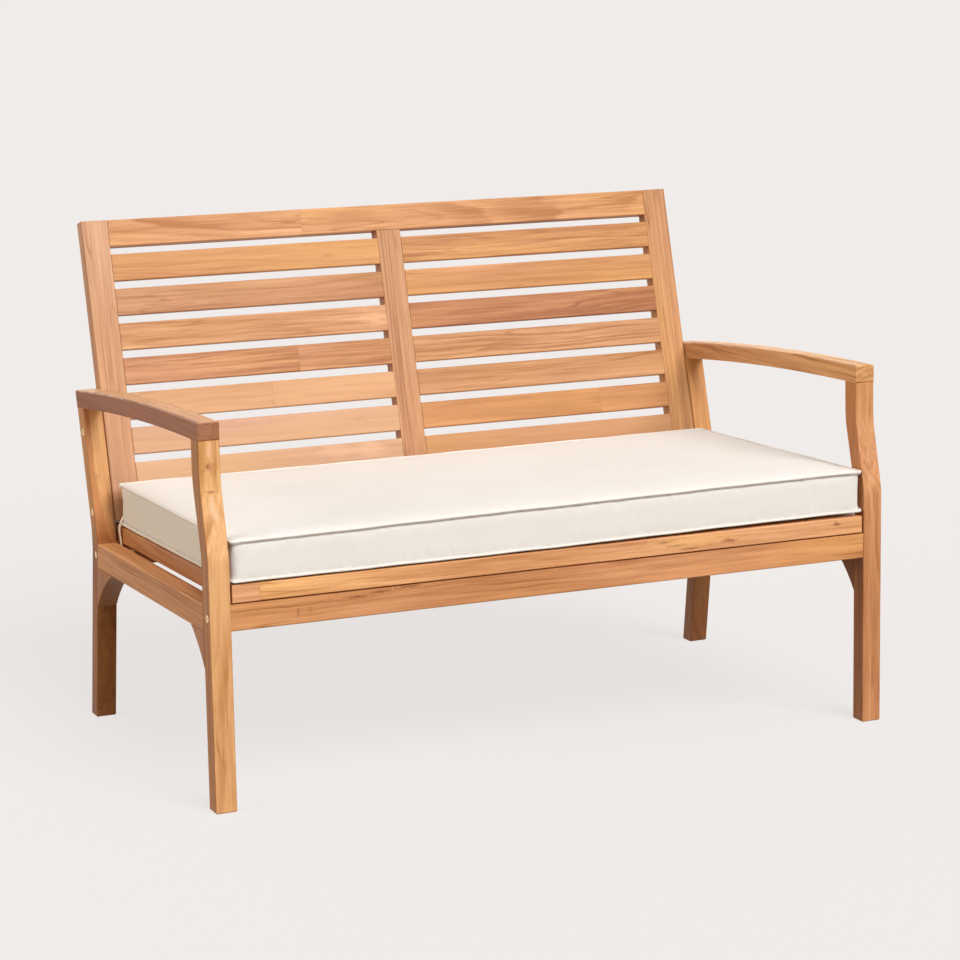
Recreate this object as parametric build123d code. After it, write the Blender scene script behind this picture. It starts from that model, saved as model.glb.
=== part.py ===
from build123d import *
from math import cos, radians, sin, tan
import os

# A two-seat garden bench of solid timber with a loose seat cushion.
# Millimetres. X runs along the bench, -Y is its front, the floor is Z = 0,
# and the origin lies on the floor under the middle of the bench.

# The whole bench
overall_width = 1200.0
overall_depth = 747.0
overall_height = 846.0
seat_height = 358.0          # top of the bare seat at its front edge

# Legs: sawn from one thickness of board, so they show a constant width from the front
leg_thickness = 35.0
front_leg_depth = 31.5
front_leg_top_depth = 35.0
front_leg_bend_shares = (0.17, 0.625)    # of the height from the seat to the arm: knee, upper bend
front_leg_knee_back = 8.0    # how far the knee lies behind the toe
front_leg_bend_back = 37.0
front_leg_top_back = 40.0
front_leg_knee_radius = 60.0
front_leg_bend_radius = 150.0
rear_leg_depth = 29.0
rear_leg_knee_height = 320.0
rear_foot_inset = 106.0       # heel of the rear foot, in from the rearmost edge of the back
rear_leg_shin_radius = 80.0
rear_leg_heel_radius = 160.0
foot_chamfer = 1.5

# Arms: bowed boards that lie on the leg tops
arm_front_height = 609.0
arm_rear_drop = 44.5
arm_crown = 8.0
arm_thickness = 29.5
arm_edge_radius = 3.0

# Side rails and the hollowed gussets under their ends
side_rail_height = 42.0
side_rail_front_gap = 3.5    # below the seat panel
side_rail_rear_gap = 1.0
front_gusset_length = 60.0
front_gusset_drop = 60.0
front_gusset_hollow = 4.0
rear_gusset_length = 80.0
rear_gusset_drop = 70.0
rear_gusset_hollow = 7.5
gusset_chamfer = 1.0

# Aprons between the side frames
apron_thickness = 22.0
apron_height = 44.0
board_setback = 1.5          # behind the front faces of the legs
apron_rebate_height = 2.0    # along the front apron's top, so that the seat stands off its edge
apron_rebate_depth = 9.0

# Seat panel: a jointed frame with slats, which falls a little to the rear
seat_fall_angle = 1.5
seat_frame_height = 28.5
seat_rail_width = 45.0
seat_end_clearance = 3.0
seat_rear_overhang = 12.0    # behind the rear apron, under the back panel
seat_slat_count = 8
seat_slat_gap = 11.0
seat_slat_thickness = 14.0

# Back panel: a raked frame with slats in two bays
back_rake_angle = 15.9
back_thickness = 26.0
back_seat_gap = 0.5
back_end_clearance = 0.8     # beside each rear leg
stile_width = 47.0
centre_stile_width = 46.0
top_rail_height = 46.0
bottom_rail_height = 36.0
slat_count = 7               # in each bay
slat_gap = 13.7
slat_thickness = 15.0

# Joints
edge_radius = 2.0
tenon_length = 12.0
tenon_thickness = 8.0
tenon_shoulder = 6.0
tenon_clearance = 0.2
mortise_end_gap = 1.0
dowel_radius = 4.0
dowel_bite = 13.0            # into each of the two pieces
rail_dowel_shares = (0.25, 0.75)
apron_dowel_bite = 8.0
apron_dowel_drop = 13.0
dowel_clearance = 0.1
dowel_end_gap = 0.5

# Fixings
bolt_head_radius = 6.2
bolt_head_height = 3.0
bolt_head_sink = 0.4
bolt_socket_radius = 2.9
bolt_socket_sides = 6
bolt_socket_depth = 2.0
bolt_radius = 3.0
bolt_hole_clearance = 0.25
bolt_tip = 8.0               # past the axis of its nut
nut_radius = 5.0
nut_wall = 2.5               # timber left beyond the nut
nut_back = 26.0              # from the end of the piece to the axis of the nut
lower_bolt_rise = 19.0
upper_bolt_drop = 34.5       # below the rear leg's top
screw_radius = 2.5
screw_head_radius = 4.5
screw_head_height = 3.0
screw_head_depth = 18.0
screw_bite = 18.0
screw_place_shares = (-0.6, 0.0, 0.6)

# Loose cushion with piped edges and a tie at each rear corner
cushion_side_clearance = 1.5
cushion_front_overhang = 2.0
cushion_rear_clearance = 12.0
cushion_thickness = 74.0
cushion_crown = 8.0
cushion_draw_in = 2.5
cushion_corner_radius = 8.0
cushion_rest_gap = 0.3
piping_radius = 2.25
piping_proud = 1.5
piping_inset = 3.0
tie_width = 8.0
tie_thickness = 1.2
# centreline of a tie: distance outward of the legs' inner faces, and height above the seat
tie_route = ((-8.0, 20.0), (3.5, 2.0), (-1.5, -22.0), (-1.5, -46.0))
tie_run_share = 0.45

# Every cut is made this much longer than what it cuts through
overrun = 20.0

# Places that follow from the sizes above
front = -overall_depth / 2
outer_half = overall_width / 2
inner_half = outer_half - leg_thickness
frame_middle = outer_half - leg_thickness / 2
rake = radians(back_rake_angle)
fall = radians(seat_fall_angle)
back_top_y = front + overall_depth - back_thickness * cos(rake)
nut_length = min(apron_thickness, back_thickness) - 2 * nut_wall

os.makedirs("parts", exist_ok=True)
nodes = {}


def along(start, end, height):
    """Y of the straight line from start to end, both (y, z), at a height."""
    return start[0] + (end[0] - start[0]) * (height - start[1]) / (end[1] - start[1])


def height_share(share):
    """A height between the seat and the arm's front end, as a share of the way up."""
    return seat_height + share * (arm_front_height - seat_height)


front_leg_knee_height, front_leg_bend_height = [height_share(share) for share in front_leg_bend_shares]

# The seat's underside is the plane that everything below and above the seat follows.
apron_front = front + board_setback + along(
    (0.0, 0.0),
    (front_leg_knee_back, front_leg_knee_height),
    seat_height - seat_frame_height - apron_height / 2,
)
seat_base = seat_height - seat_frame_height * cos(fall)


def seat_under(y):
    """Height of the seat panel's underside at y."""
    return seat_base - (y - apron_front) * tan(fall)


def seat_over(y):
    """Height of the seat panel's top face at y."""
    return seat_under(y) + seat_frame_height / cos(fall)


# Front edges of the legs in the side view, as (y, z)
front_toe = (front, 0.0)
front_knee = (front + front_leg_knee_back, front_leg_knee_height)
front_bend = (front + front_leg_bend_back, front_leg_bend_height)
front_top = (front + front_leg_top_back, arm_front_height)
rear_toe = (front + overall_depth - rear_foot_inset - rear_leg_depth, 0.0)
rear_top = (back_top_y - (overall_height - arm_front_height) * tan(rake), arm_front_height)
rear_knee = (back_top_y - (overall_height - rear_leg_knee_height) * tan(rake), rear_leg_knee_height)


def shifted(point, distance):
    """A (y, z) point moved to the rear."""
    return (point[0] + distance, point[1])


def front_leg_rear(height):
    """Y of the front leg's rear face below its knee."""
    return along(front_toe, front_knee, height) + front_leg_depth


def rear_leg_front(height):
    """Y of the rear leg's front face below its knee."""
    return along(rear_toe, rear_knee, height)


def side_blank(face):
    """A side frame piece of the left frame, square-edged, from its side view in (y, z)."""
    return extrude(Plane.YZ.offset(-outer_half) * face, amount=leg_thickness)


def rounded_between(piece, axis, low, high):
    """Rounds the long edges of a side frame piece, but not those round its two ends."""
    long_edges = piece.edges().filter_by(Axis.X, reverse=True)
    return fillet(long_edges.filter_by_position(axis, low, high, inclusive=(False, False)), edge_radius)


def leg_blank(front_points, depths, front_radii, rear_radii):
    """A bent leg, square-edged and taller than it will be, with its depth at each of its points."""
    rear_points = [shifted(point, depth) for point, depth in zip(front_points, depths)]
    front_edge = FilletPolyline(*front_points, radius=front_radii)
    rear_edge = FilletPolyline(*rear_points, radius=rear_radii)
    sole = Line(front_points[0], rear_points[0])
    crown = Line(front_points[-1], rear_points[-1])
    return side_blank(make_face(Curve() + [front_edge, rear_edge, sole, crown]))


# The arm's side view: two alike arcs, cut off on the lines of the legs
def arm_arc(drop):
    """The arc at a drop below the arm's top, as start, middle and end in (y, z)."""
    front_z = arm_front_height - drop
    rear_z = front_z - arm_rear_drop
    start = (along(front_bend, front_top, front_z), front_z)
    end = (along(rear_knee, rear_top, rear_z) + rear_leg_depth, rear_z)
    middle = ((start[0] + end[0]) / 2, (start[1] + end[1]) / 2 + arm_crown)
    return start, middle, end


arm_top = arm_arc(0.0)
arm_under = arm_arc(arm_thickness)


def arm_under_height(y):
    """Height of the arm's underside at y, by the parabola that a shallow arc follows."""
    start, middle, end = arm_under
    share = (y - start[0]) / (end[0] - start[0])
    return start[1] + (end[1] - start[1]) * share + 4 * arm_crown * share * (1 - share)


def above_arm_underside():
    """All that a leg must lose to carry the arm on its top."""
    start, middle, end = arm_under
    ceiling = arm_front_height + overrun
    behind = rear_top[0] + rear_leg_depth + overrun
    corners = [
        end,
        (behind, end[1]),
        (behind, ceiling),
        (start[0] - overrun, ceiling),
        (start[0] - overrun, start[1]),
        start,
    ]
    return side_blank(make_face(Curve() + [ThreePointArc(*arm_under), Polyline(*corners)]))


front_leg_blank = leg_blank(
    (front_toe, front_knee, front_bend, front_top),
    (front_leg_depth, front_leg_depth, front_leg_top_depth, front_leg_top_depth),
    [front_leg_knee_radius, front_leg_bend_radius],
    [front_leg_knee_radius, front_leg_bend_radius],
)
rear_leg_blank = leg_blank(
    (rear_toe, rear_knee, rear_top),
    (rear_leg_depth, rear_leg_depth, rear_leg_depth),
    [rear_leg_shin_radius],
    [rear_leg_heel_radius],
)

# The side rail's side view, run into both legs, where it is cut off to meet them
rail_front_y = front_leg_rear(seat_base) - front_leg_depth / 2
rail_rear_y = rear_leg_front(seat_base) + rear_leg_depth / 2
rail_front_top = seat_under(rail_front_y) - side_rail_front_gap
rail_rear_top = seat_under(rail_rear_y) - side_rail_rear_gap


def rail_top(y):
    """Height of the side rail's top edge at y."""
    share = (y - rail_front_y) / (rail_rear_y - rail_front_y)
    return rail_front_top + (rail_rear_top - rail_front_top) * share


def rail_bottom(y):
    """Height of the side rail's lower edge at y."""
    return rail_top(y) - side_rail_height


def side_rail_blank():
    """The side rail before it is cut off at the legs."""
    corners = [
        (rail_front_y, rail_bottom(rail_front_y)),
        (rail_rear_y, rail_bottom(rail_rear_y)),
        (rail_rear_y, rail_top(rail_rear_y)),
        (rail_front_y, rail_top(rail_front_y)),
    ]
    return side_blank(make_face(Polyline(*corners, close=True)))


def gusset(leg_y, leg_side_depth, length, drop, hollow, rail):
    """A corner block under the side rail with a hollowed free edge. A rear gusset has a negative length."""
    leg_side = leg_y(rail_bottom(rail_front_y))
    corner = (leg_side, rail_bottom(leg_side))
    tip = (corner[0] + length, rail_bottom(corner[0] + length))
    foot = (leg_y(corner[1] - drop), corner[1] - drop)
    across = Vector(*tip) - Vector(*foot)
    inward = Vector(-across.Y, across.X).normalized() * hollow
    if length < 0:
        inward = inward * -1
    middle = (Vector(*tip) + Vector(*foot)) / 2 + inward
    into_leg = -leg_side_depth / 2 if length > 0 else leg_side_depth / 2
    buried_z = corner[1] + side_rail_height / 2
    buried = shifted((leg_y(buried_z), buried_z), into_leg)
    corners = [foot, shifted(foot, into_leg), buried, (tip[0], buried_z), tip]
    outline = Curve() + [ThreePointArc(tip, (middle.X, middle.Y), foot), Polyline(*corners)]
    piece = side_blank(make_face(outline)) - rail - front_leg_blank - rear_leg_blank
    return chamfer(piece.edges().filter_by(GeomType.CIRCLE), gusset_chamfer)


# Dowels and bolts of the left frame, as planes whose Z runs along them
leg_lean = (0, front_top[0] - front_bend[0], front_top[1] - front_bend[1])
back_up = (0, sin(rake), cos(rake))
back_rearward = (0, cos(rake), -sin(rake))
apron_rear = rear_leg_front(seat_base - apron_height / 2) + board_setback
front_apron_middle = (apron_front + apron_thickness / 2, seat_base - apron_height / 2)
rear_apron_middle = (apron_rear + apron_thickness / 2, seat_under(apron_rear) - apron_height / 2)


def rail_dowel_planes(y_at, rail_y):
    """The two dowels at one end of the side rail."""
    planes = []
    for share in rail_dowel_shares:
        height = rail_bottom(rail_y) + side_rail_height * share
        planes.append(Plane(origin=(-frame_middle, y_at(height), height), z_dir=(0, 1, 0)))
    return planes


def arm_dowel_plane(leg_middle, lean):
    """The dowel between a leg's top and the arm."""
    return Plane(origin=(-frame_middle, leg_middle, arm_under_height(leg_middle)), z_dir=lean)


def apron_dowel_plane(middle):
    """The dowel that keeps an apron from turning on its bolt."""
    return Plane(origin=(-inner_half, middle[0], middle[1] - apron_dowel_drop), z_dir=(1, 0, 0))


front_arm_dowel = arm_dowel_plane(arm_under[0][0] + front_leg_top_depth / 2, leg_lean)
rear_arm_dowel = arm_dowel_plane(arm_under[2][0] - rear_leg_depth / 2, back_up)
front_rail_dowels = rail_dowel_planes(front_leg_rear, rail_front_y)
rear_rail_dowels = rail_dowel_planes(rear_leg_front, rail_rear_y)
front_apron_dowel = apron_dowel_plane(front_apron_middle)
rear_apron_dowel = apron_dowel_plane(rear_apron_middle)


def dowel(plane, bite):
    return plane * Cylinder(dowel_radius, 2 * bite)


def dowel_bore(plane, bite):
    return plane * Cylinder(dowel_radius + dowel_clearance, 2 * (bite + dowel_end_gap))


# Back panel: X along the bench, Y up the rake from the lower edge, Z out of the front face
back_length = (
    overall_height
    - back_thickness * sin(rake)
    - seat_over(apron_front)
    + (back_top_y + back_thickness * cos(rake) - apron_front) * tan(fall)
    - back_seat_gap
) / (cos(rake) + sin(rake) * tan(fall))
back_opening = back_length - top_rail_height - bottom_rail_height
slat_height = (back_opening - (slat_count + 1) * slat_gap) / slat_count
back_plane = Plane(
    origin=(0, back_top_y - back_length * sin(rake), overall_height - back_length * cos(rake)),
    x_dir=(1, 0, 0),
    z_dir=(0, -cos(rake), sin(rake)),
)

# Seat panel: X along the bench, Y to the rear along its fall, Z square to it
seat_plane = Plane(
    origin=(0, apron_front, seat_base), x_dir=(1, 0, 0), z_dir=(0, sin(fall), cos(fall))
)
seat_depth = (apron_rear + apron_thickness + seat_rear_overhang - apron_front) / cos(fall)
seat_half_width = inner_half - seat_end_clearance
seat_opening = seat_depth - 2 * seat_rail_width
seat_slat_width = (seat_opening - (seat_slat_count + 1) * seat_slat_gap) / seat_slat_count


def bolt_plane(middle, nut_side):
    """Starts on the left frame's outer face, Z into the bench, X towards the nut's open side."""
    return Plane(origin=(-outer_half, middle[0], middle[1]), x_dir=nut_side, z_dir=(1, 0, 0))


def stile_bolt_middle(rise):
    """Where a bolt through the rear leg enters the edge of the stile."""
    point = back_plane.from_local_coords(Vector(0, rise, -back_thickness / 2))
    return (point.Y, point.Z)


front_apron_bolt = bolt_plane(front_apron_middle, (0, 1, 0))
rear_apron_bolt = bolt_plane(rear_apron_middle, (0, -1, 0))
upper_bolt_rise = (arm_under[2][1] - upper_bolt_drop - back_plane.origin.Z) / cos(rake)
stile_bolts = [
    bolt_plane(stile_bolt_middle(rise), back_rearward) for rise in (lower_bolt_rise, upper_bolt_rise)
]


def rod(radius, start, end):
    """A cylinder on the Z axis between two heights."""
    return Pos(0, 0, (start + end) / 2) * Cylinder(radius, end - start)


def bolt(plane):
    """A socket-head bolt, its head just under the leg's face."""
    under_head = bolt_head_sink + bolt_head_height
    tip = leg_thickness + nut_back + bolt_tip
    body = rod(bolt_head_radius, bolt_head_sink, under_head) + rod(bolt_radius, under_head, tip)
    socket = extrude(RegularPolygon(bolt_socket_radius, bolt_socket_sides), amount=bolt_head_sink + bolt_socket_depth)
    return plane * (body - socket)


def barrel_nut(plane):
    """A cross nut in the edge of an apron or a stile."""
    nut = Pos(0, 0, leg_thickness + nut_back) * Rot(0, 90, 0) * Cylinder(nut_radius, nut_length)
    return plane * nut - bolt(plane)


def bolt_bore(plane):
    """The stepped hole in a leg and the plain one beyond it."""
    hole = bolt_radius + bolt_hole_clearance
    seat = bolt_head_radius + bolt_hole_clearance
    tip = leg_thickness + nut_back + bolt_tip + dowel_end_gap
    return plane * (rod(hole, 0, tip) + rod(seat, 0, bolt_head_sink + bolt_head_height))


def nut_bore(plane):
    """The cross hole that takes a nut, open to one face."""
    end = rod(nut_radius + dowel_clearance, -nut_length / 2, apron_thickness + back_thickness)
    return plane * Pos(0, 0, leg_thickness + nut_back) * Rot(0, 90, 0) * end


def block(x_span, y_span, z_span):
    """A square-edged block between three pairs of places."""
    middle = [(span[0] + span[1]) / 2 for span in (x_span, y_span, z_span)]
    sizes = [span[1] - span[0] for span in (x_span, y_span, z_span)]
    return Pos(*middle) * Box(*sizes)


def board(x_span, y_span, z_span, grain):
    """A planed board with the four edges along its grain rounded over."""
    piece = block(x_span, y_span, z_span)
    return fillet(piece.edges().filter_by(grain), edge_radius)


def grown(span, amount):
    """A span lengthened at both ends."""
    return (span[0] - amount, span[1] + amount)


def tenon_span(face):
    """The thickness of a tenon, in the middle of a piece that lies between face and its back."""
    middle = (face[0] + face[1]) / 2
    return (middle - tenon_thickness / 2, middle + tenon_thickness / 2)


def rail_with_tenons(x_span, y_span, z_span):
    """A member that runs along X, stub-tenoned at both ends."""
    tenons = block(
        grown(x_span, tenon_length), grown(y_span, -tenon_shoulder), tenon_span(z_span)
    )
    return board(x_span, y_span, z_span, Axis.X) + tenons


def rail_mortises(x_span, y_span, z_span):
    """What that member's tenons need in the pieces that hold them."""
    return block(
        grown(x_span, tenon_length + mortise_end_gap),
        grown(y_span, tenon_clearance - tenon_shoulder),
        grown(tenon_span(z_span), tenon_clearance),
    )


def post_with_tenons(x_span, y_span, z_span):
    """A member that runs along Y, stub-tenoned at both ends."""
    tenons = block(
        grown(x_span, -tenon_shoulder), grown(y_span, tenon_length), tenon_span(z_span)
    )
    return board(x_span, y_span, z_span, Axis.Y) + tenons


def post_mortises(x_span, y_span, z_span):
    """What that member's tenons need in the pieces that hold them."""
    return block(
        grown(x_span, tenon_clearance - tenon_shoulder),
        grown(y_span, tenon_length + mortise_end_gap),
        grown(tenon_span(z_span), tenon_clearance),
    )


def both_sides(name, piece):
    """Keeps a left piece and its mirror image."""
    nodes[name + "_left"] = piece
    nodes[name + "_right"] = mirror(piece, about=Plane.YZ)


def make_front_legs():
    """Front legs: upright shins that sweep back from the knee to carry the arms."""
    leg = rounded_between(front_leg_blank, Axis.Z, 0, arm_front_height)
    leg = chamfer(leg.faces().sort_by(Axis.Z)[0].edges(), foot_chamfer) - above_arm_underside()
    for plane in front_rail_dowels + [front_arm_dowel]:
        leg -= dowel_bore(plane, dowel_bite)
    leg -= dowel_bore(front_apron_dowel, apron_dowel_bite)
    both_sides("front_leg", leg - bolt_bore(front_apron_bolt))


def make_rear_legs():
    """Rear legs: splayed shins and raked upper parts in line with the back panel."""
    leg = rounded_between(rear_leg_blank, Axis.Z, 0, arm_front_height)
    leg = chamfer(leg.faces().sort_by(Axis.Z)[0].edges(), foot_chamfer) - above_arm_underside()
    for plane in rear_rail_dowels + [rear_arm_dowel]:
        leg -= dowel_bore(plane, dowel_bite)
    leg -= dowel_bore(rear_apron_dowel, apron_dowel_bite)
    for plane in [rear_apron_bolt] + stile_bolts:
        leg -= bolt_bore(plane)
    both_sides("rear_leg", leg)


def make_arms():
    """Arms: bowed boards as wide as the legs are thick."""
    outline = [
        ThreePointArc(*arm_top),
        ThreePointArc(*arm_under),
        Line(arm_top[0], arm_under[0]),
        Line(arm_top[2], arm_under[2]),
    ]
    arm = side_blank(make_face(Curve() + outline))
    top_edges = arm.edges().filter_by(GeomType.CIRCLE).sort_by(Axis.Z)[-2:]
    end_edges = arm.edges().filter_by(Axis.X)
    arm = fillet(top_edges + end_edges, arm_edge_radius)
    for plane in (front_arm_dowel, rear_arm_dowel):
        arm -= dowel_bore(plane, dowel_bite)
    both_sides("arm", arm)


def make_side_rails():
    """Side rails between the legs, with a gusset under each end."""
    blank = side_rail_blank()
    rail = rounded_between(blank, Axis.Y, rail_front_y, rail_rear_y)
    rail = rail - front_leg_blank - rear_leg_blank
    for plane in front_rail_dowels + rear_rail_dowels:
        rail -= dowel_bore(plane, dowel_bite)
    both_sides("side_rail", rail)
    front_block = gusset(
        front_leg_rear,
        front_leg_depth,
        front_gusset_length,
        front_gusset_drop,
        front_gusset_hollow,
        blank,
    )
    rear_block = gusset(
        rear_leg_front,
        rear_leg_depth,
        -rear_gusset_length,
        rear_gusset_drop,
        rear_gusset_hollow,
        blank,
    )
    both_sides("front_gusset", front_block)
    both_sides("rear_gusset", rear_block)


def apron_blank(near_y, lower_z):
    """An apron on edge, its top planed to the fall of the seat."""
    far_y = near_y + apron_thickness
    corners = [(near_y, lower_z), (far_y, lower_z), (far_y, seat_under(far_y)), (near_y, seat_under(near_y))]
    face = make_face(Polyline(*corners, close=True))
    blank = extrude(Plane.YZ.offset(-inner_half) * face, amount=2 * inner_half)
    return fillet(blank.edges().filter_by(Axis.X), edge_radius)


def screw_plane(place_share, middle_y):
    """A screw's axis, square to the seat, on the seat's underside and pointing up."""
    distance = (middle_y - apron_front) / cos(fall)
    point = seat_plane.from_local_coords(Vector(place_share * inner_half, distance, 0))
    return Plane(origin=point, x_dir=(1, 0, 0), z_dir=seat_plane.z_dir)


screw_planes = [
    screw_plane(share, middle[0])
    for middle in (front_apron_middle, rear_apron_middle)
    for share in screw_place_shares
]
screw_reach = apron_height - screw_head_depth


def seat_screw(plane):
    """A countersunk wood screw up through an apron into the seat frame."""
    shank = rod(screw_radius, -screw_reach, screw_bite)
    head = Pos(0, 0, -screw_reach) * Cone(
        screw_head_radius, screw_radius, screw_head_height, align=(Align.CENTER, Align.CENTER, Align.MIN)
    )
    return plane * (shank + head)


def screw_bore(plane):
    """The screw's own hole and the wider one that its head goes up."""
    well = rod(screw_head_radius + dowel_clearance, -apron_height - overrun, -screw_reach)
    return seat_screw(plane) + plane * well


def make_aprons():
    """Front and rear aprons, bolted through the legs with one dowel each end."""
    front_apron = apron_blank(apron_front, seat_base - apron_height)
    rear_apron = apron_blank(apron_rear, seat_under(apron_rear) - apron_height)
    front_apron -= seat_plane * block(
        (-outer_half, outer_half), (-overrun, apron_rebate_depth), (-apron_rebate_height, overrun)
    )
    for plane in screw_planes:
        front_apron -= screw_bore(plane)
        rear_apron -= screw_bore(plane)
    for dowel_plane, bolt_axis, is_front in (
        (front_apron_dowel, front_apron_bolt, True),
        (rear_apron_dowel, rear_apron_bolt, False),
    ):
        left = dowel_bore(dowel_plane, apron_dowel_bite) + bolt_bore(bolt_axis) + nut_bore(bolt_axis)
        for bores in (left, mirror(left, about=Plane.YZ)):
            if is_front:
                front_apron -= bores
            else:
                rear_apron -= bores
    nodes["front_apron"] = front_apron
    nodes["rear_apron"] = rear_apron


def make_back_panel():
    """The raked back: two stiles, two rails, a centre stile and slats in two bays."""
    thick = (-back_thickness, 0.0)
    thin = (-slat_thickness, 0.0)
    edge = inner_half - back_end_clearance
    clear = (stile_width - edge, edge - stile_width)
    left_bay = (clear[0], -centre_stile_width / 2)
    right_bay = (centre_stile_width / 2, clear[1])
    upright = (bottom_rail_height, back_length - top_rail_height)
    middle_post = (-centre_stile_width / 2, centre_stile_width / 2)
    stile = board((-edge, clear[0]), (0.0, back_length), thick, Axis.Y)
    post = post_with_tenons(middle_post, upright, thick)
    bottom_rail = rail_with_tenons(clear, (0.0, bottom_rail_height), thick)
    top_rail = rail_with_tenons(clear, (upright[1], back_length), thick)
    rail_sockets = rail_mortises(clear, (0.0, bottom_rail_height), thick) + rail_mortises(
        clear, (upright[1], back_length), thick
    )
    post_sockets = post_mortises(middle_post, upright, thick)
    stile -= rail_sockets
    for row in range(slat_count):
        low = bottom_rail_height + slat_gap + row * (slat_height + slat_gap)
        rise = (low, low + slat_height)
        for side, bay in (("left", left_bay), ("right", right_bay)):
            slat = rail_with_tenons(bay, rise, thin)
            nodes[f"back_slat_{side}_{row + 1}"] = back_plane * slat
            sockets = rail_mortises(bay, rise, thin)
            post -= sockets
            stile -= sockets
    stile = back_plane * stile
    for plane in stile_bolts:
        stile = stile - bolt_bore(plane) - nut_bore(plane)
    both_sides("back_stile", stile)
    nodes["back_centre_stile"] = back_plane * post
    nodes["back_bottom_rail"] = back_plane * (bottom_rail - post_sockets)
    nodes["back_top_rail"] = back_plane * (top_rail - post_sockets)


def make_seat_panel():
    """The seat: four jointed rails, slats across it and a rail under their middle."""
    full = (0.0, seat_frame_height)
    upper = (seat_frame_height - seat_slat_thickness, seat_frame_height)
    lower = (0.0, seat_frame_height - seat_slat_thickness)
    depth = (seat_rail_width, seat_depth - seat_rail_width)
    width = (-seat_half_width, seat_half_width)
    clear = grown(width, -seat_rail_width)
    side_post = (width[0], clear[0])
    middle_post = (-seat_rail_width / 2, seat_rail_width / 2)
    front_rail = board(width, (0.0, depth[0]), full, Axis.X)
    back_rail = board(width, (depth[1], seat_depth), full, Axis.X)
    side_rail = post_with_tenons(side_post, depth, full)
    centre_rail = post_with_tenons(middle_post, depth, lower)
    side_sockets = post_mortises(side_post, depth, full)
    sockets = side_sockets + mirror(side_sockets, about=Plane.YZ) + post_mortises(middle_post, depth, lower)
    for row in range(seat_slat_count):
        near = depth[0] + seat_slat_gap + row * (seat_slat_width + seat_slat_gap)
        run = (near, near + seat_slat_width)
        nodes[f"seat_slat_{row + 1}"] = seat_plane * rail_with_tenons(clear, run, upper)
        side_rail -= rail_mortises(clear, run, upper)
    front_rail = seat_plane * (front_rail - sockets)
    back_rail = seat_plane * (back_rail - sockets)
    for plane in screw_planes:
        front_rail -= seat_screw(plane)
        back_rail -= seat_screw(plane)
    nodes["seat_front_rail"] = front_rail
    nodes["seat_back_rail"] = back_rail
    nodes["seat_centre_rail"] = seat_plane * centre_rail
    both_sides("seat_side_rail", seat_plane * side_rail)


def make_fixings():
    """Bolts, cross nuts, dowels and screws, each kind as one group of separate solids."""
    bolt_planes = [front_apron_bolt, rear_apron_bolt] + stile_bolts
    frame_dowels = front_rail_dowels + rear_rail_dowels + [front_arm_dowel, rear_arm_dowel]
    dowels = [dowel(plane, dowel_bite) for plane in frame_dowels]
    dowels += [dowel(plane, apron_dowel_bite) for plane in (front_apron_dowel, rear_apron_dowel)]
    groups = {
        "frame_bolts": [bolt(plane) for plane in bolt_planes],
        "barrel_nuts": [barrel_nut(plane) for plane in bolt_planes],
        "frame_dowels": dowels,
    }
    for name, left in groups.items():
        right = [mirror(piece, about=Plane.YZ) for piece in left]
        nodes[name] = Compound(children=left + right)
    nodes["seat_screws"] = Compound(children=[seat_screw(plane) for plane in screw_planes])


# Cushion, in the seat panel's plane
cushion_half_width = inner_half - cushion_side_clearance
cushion_front = -cushion_front_overhang
back_front_at_seat = back_top_y - (overall_height - seat_over(apron_rear)) * tan(rake)
cushion_rear = (back_front_at_seat - apron_front) / cos(fall) - cushion_rear_clearance
cushion_low = seat_frame_height + cushion_rest_gap
cushion_high = cushion_low + cushion_thickness


def cushion_outline(height, inset):
    """The cushion's plan at a height, inside its widest by an inset."""
    wide = 2 * (cushion_half_width - inset)
    deep = cushion_rear - cushion_front - 2 * inset
    place = Pos(0, (cushion_front + cushion_rear) / 2, height)
    return place * RectangleRounded(wide, deep, cushion_corner_radius - inset)


def crown_section(start, end):
    """All that lies under a crowned top, which runs on past both edges of the cushion."""
    low_start, high_start = (start - overrun, 0.0), (start - overrun, cushion_high)
    low_end, high_end = (end + overrun, 0.0), (end + overrun, cushion_high)
    top = ThreePointArc(high_start, ((start + end) / 2, cushion_high + cushion_crown), high_end)
    return make_face(Curve() + [Polyline(high_end, low_end, low_start, high_start), top])


def piping_loop(height):
    """A welt cord sewn round the cushion's outline."""
    path = cushion_outline(height, piping_radius).wire()
    start = Plane(origin=path.position_at(0), z_dir=path.tangent_at(0))
    return sweep(start * Circle(piping_radius), path=path)


def tie_solid():
    """The flat tie of the left corner: straight runs joined by arcs, as wide as it is along Y."""
    tie_back = apron_front + (cushion_rear - cushion_corner_radius) * cos(fall)
    ground = seat_over(tie_back)
    route = [(-inner_half - outward, ground + rise) for outward, rise in tie_route]
    radii = []
    for before, corner, after in zip(route, route[1:], route[2:]):
        arriving = Vector(*corner) - Vector(*before)
        leaving = Vector(*after) - Vector(*corner)
        half_turn = radians(arriving.get_angle(leaving)) / 2
        radii.append(tie_run_share * min(arriving.length, leaving.length) / tan(half_turn))
    print("tie radii", [round(radius, 1) for radius in radii])
    centre = FilletPolyline(*route, radius=radii)
    print("tie length", round(centre.length, 2))
    strip = trace(centre, line_width=tie_thickness)
    rear_face = Plane(origin=(0, tie_back, 0), x_dir=(1, 0, 0), z_dir=(0, -1, 0))
    tie = extrude(rear_face * strip, amount=tie_width)
    print("tie volume", round(tie.volume, 1), "of", round(centre.length * tie_width * tie_thickness, 1))
    return tie


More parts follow.
